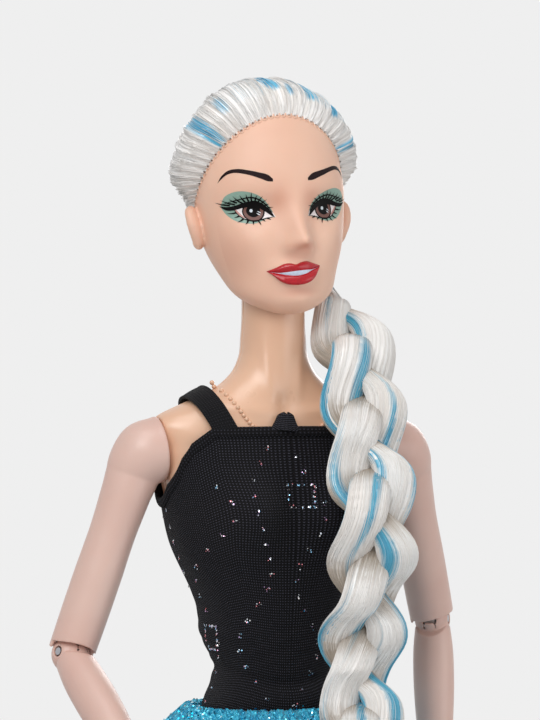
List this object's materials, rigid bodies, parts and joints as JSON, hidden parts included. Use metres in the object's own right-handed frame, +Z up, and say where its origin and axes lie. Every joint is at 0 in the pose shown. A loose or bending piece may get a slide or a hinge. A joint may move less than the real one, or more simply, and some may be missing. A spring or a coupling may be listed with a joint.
{
  "type": "articulated fashion doll",
  "caption": "Standing fashion doll with a long side braid, black knit top and flared glitter skirt; neck, shoulders, elbows, wrists, hips and knees turn.",
  "frame": {"origin": "middle of the footprint, on the floor under the shoes", "axes": "+Z up, the doll faces -Y and its own left side is +X"},
  "size_m": [0.0874, 0.079, 0.2955],
  "materials": {
    "vinyl": "matte peach vinyl, soft",
    "body_plastic": "glossy warm tan moulded plastic",
    "arm_plastic": "semi-matte pink moulded plastic",
    "nylon": "pale translucent nylon",
    "steel": "plain steel pin",
    "hair": "white nylon hair with blue streaks",
    "hair_elastic": "blue elastic",
    "knit": "black fine knit with glitter",
    "ribbon": "black woven ribbon",
    "sequin_cloth": "turquoise glitter cloth",
    "shoe_plastic": "glossy turquoise moulded plastic"
  },
  "bodies": {
    "torso": {"torso_front": "body_plastic", "torso_back": "body_plastic", "neck_knob": "nylon", "hip_axle": "steel", "knit_top": "knit", "strap_left": "ribbon", "strap_right": "ribbon", "top_closure": "ribbon", "skirt": "sequin_cloth", "skirt_waistband": "sequin_cloth", "hair_tie": "hair_elastic", "braid_tail": "hair"},
    "head": {"head": "vinyl", "hair_cap": "hair", "hair_braid": "hair"},
    "upper_arm_left": {"upper_arm_left": "arm_plastic", "shoulder_peg_left": "nylon"},
    "elbow_left": {"elbow_tongue_left": "nylon"},
    "forearm_left": {"forearm_left": "arm_plastic", "elbow_pin_left": "steel"},
    "hand_left": {"hand_left": "arm_plastic"},
    "thigh_left": {"thigh_left": "body_plastic", "knee_tongue_left": "nylon"},
    "shin_left": {"shin_left": "body_plastic", "shoe_left": "shoe_plastic", "knee_pin_left": "steel"},
    "upper_arm_right": {"upper_arm_right": "arm_plastic", "shoulder_peg_right": "nylon"},
    "elbow_right": {"elbow_tongue_right": "nylon"},
    "forearm_right": {"forearm_right": "arm_plastic", "elbow_pin_right": "steel"},
    "hand_right": {"hand_right": "arm_plastic"},
    "thigh_right": {"thigh_right": "body_plastic", "knee_tongue_right": "nylon"},
    "shin_right": {"shin_right": "body_plastic", "shoe_right": "shoe_plastic", "knee_pin_right": "steel"}
  },
  "joints": [
    {"name": "neck_turn", "type": "hinge", "parent": "torso", "child": "head", "pos_m": [-0.00025, 0.00886, 0.2596], "axis": [0, 0, 1], "range_deg": [-77, 73], "deforming": ["hair_braid"]},
    {"name": "shoulder_left", "type": "hinge", "parent": "torso", "child": "upper_arm_left", "pos_m": [0.02235, 0.00886, 0.225], "axis": [0.9914, 0, -0.1305], "range_deg": [-176, 34]},
    {"name": "elbow_swivel_left", "type": "hinge", "parent": "upper_arm_left", "child": "elbow_left", "pos_m": [0.03978, 0.02484, 0.18968], "axis": [-0.3275, -0.3943, 0.8586], "range_deg": [-45, 60]},
    {"name": "elbow_bend_left", "type": "hinge", "parent": "elbow_left", "child": "forearm_left", "pos_m": [0.03978, 0.02484, 0.18968], "axis": [0.8143, -0.5787, 0.0449], "range_deg": [-9, 36]},
    {"name": "wrist_left", "type": "hinge", "parent": "forearm_left", "child": "hand_left", "pos_m": [0.03911, 0.02078, 0.14959], "axis": [0.0167, 0.1006, 0.9948], "range_deg": [-90, 90]},
    {"name": "hip_left", "type": "hinge", "parent": "torso", "child": "thigh_left", "pos_m": [-0.00025, 0.00886, 0.1582], "axis": [1, 0, 0], "range_deg": [-55, 20]},
    {"name": "knee_left", "type": "hinge", "parent": "thigh_left", "child": "shin_left", "pos_m": [0.00955, 0.00886, 0.0812], "axis": [1, 0, 0], "range_deg": [0, 72]},
    {"name": "shoulder_right", "type": "hinge", "parent": "torso", "child": "upper_arm_right", "pos_m": [-0.02285, 0.00886, 0.225], "axis": [0.9914, 0, 0.1305], "range_deg": [-155, 8]},
    {"name": "elbow_swivel_right", "type": "hinge", "parent": "upper_arm_right", "child": "elbow_right", "pos_m": [-0.03982, 0.01204, 0.18616], "axis": [0.3161, -0.0784, 0.9455], "range_deg": [-52, 15]},
    {"name": "elbow_bend_right", "type": "hinge", "parent": "elbow_right", "child": "forearm_right", "pos_m": [-0.03982, 0.01204, 0.18616], "axis": [0.8753, 0.4085, -0.2588], "range_deg": [-10, 62]},
    {"name": "wrist_right", "type": "hinge", "parent": "forearm_right", "child": "hand_right", "pos_m": [-0.03277, -0.01884, 0.16123], "axis": [-0.1747, 0.7661, 0.6185], "range_deg": [-90, 90]},
    {"name": "hip_right", "type": "hinge", "parent": "torso", "child": "thigh_right", "pos_m": [-0.00025, 0.00886, 0.1582], "axis": [1, 0, 0], "range_deg": [-55, 20]},
    {"name": "knee_right", "type": "hinge", "parent": "thigh_right", "child": "shin_right", "pos_m": [-0.01005, 0.00886, 0.0812], "axis": [1, 0, 0], "range_deg": [0, 72]}
  ]
}
